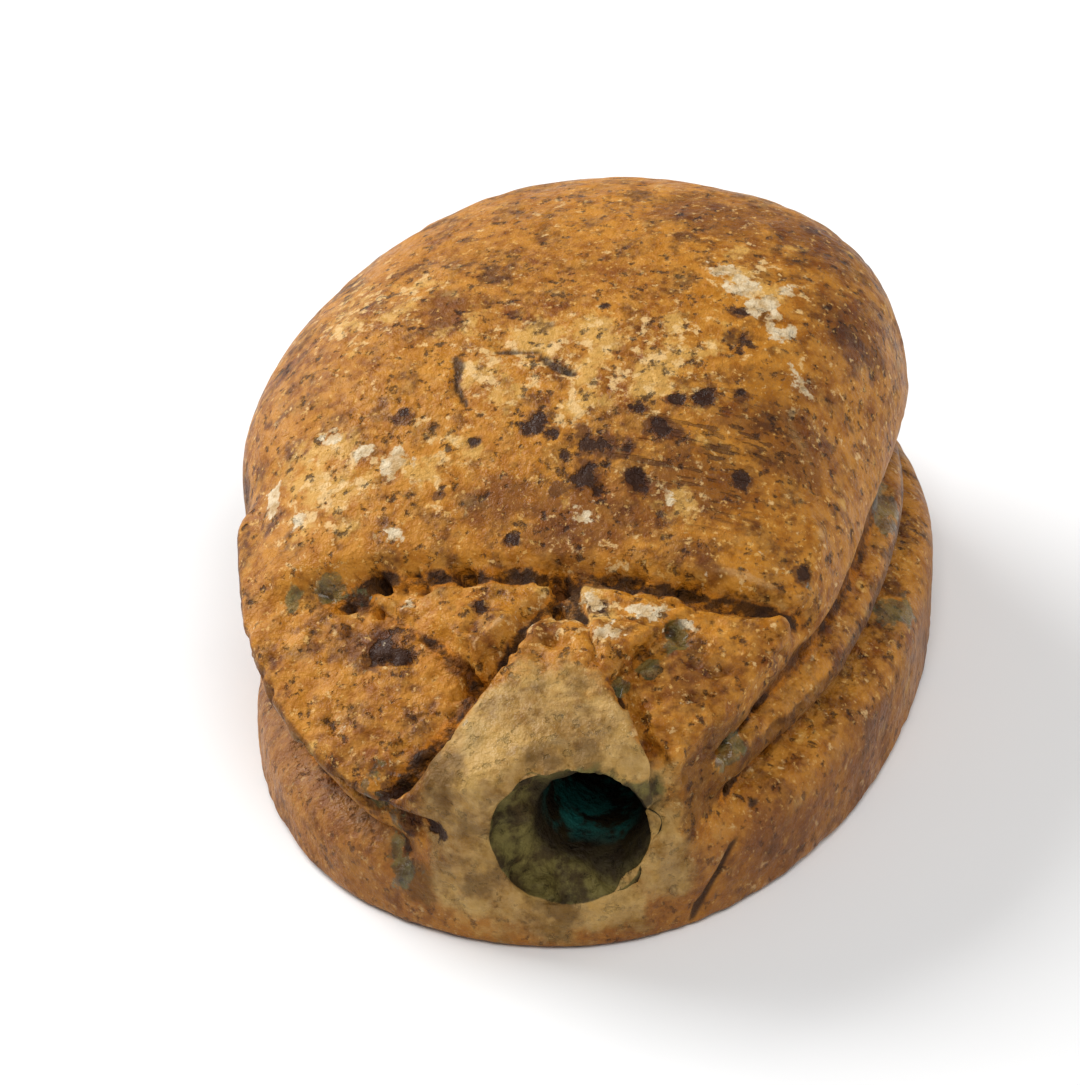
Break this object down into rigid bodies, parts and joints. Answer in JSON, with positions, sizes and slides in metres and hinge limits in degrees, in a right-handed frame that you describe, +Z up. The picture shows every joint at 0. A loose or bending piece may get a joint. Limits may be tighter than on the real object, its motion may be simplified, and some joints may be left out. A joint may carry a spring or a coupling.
{
  "type": "scarab amulet",
  "caption": "Carved and glazed stone scarab with a flat oval underside, drilled lengthwise for a string; domed back, worn head and legs in relief.",
  "frame": {"origin": "centre of the flat underside", "axes": "+Z up from the underside; head towards -Y, so +Y runs from head to tail; +X to the right seen from the head"},
  "size_m": [0.0135, 0.0178, 0.0077],
  "materials": {
    "glazed_stone": "worn satin, mottled orange-brown with cream patches and remains of blue-green glaze in the recesses"
  },
  "bodies": {
    "root": {"scarab": "glazed_stone"}
  },
  "joints": []
}
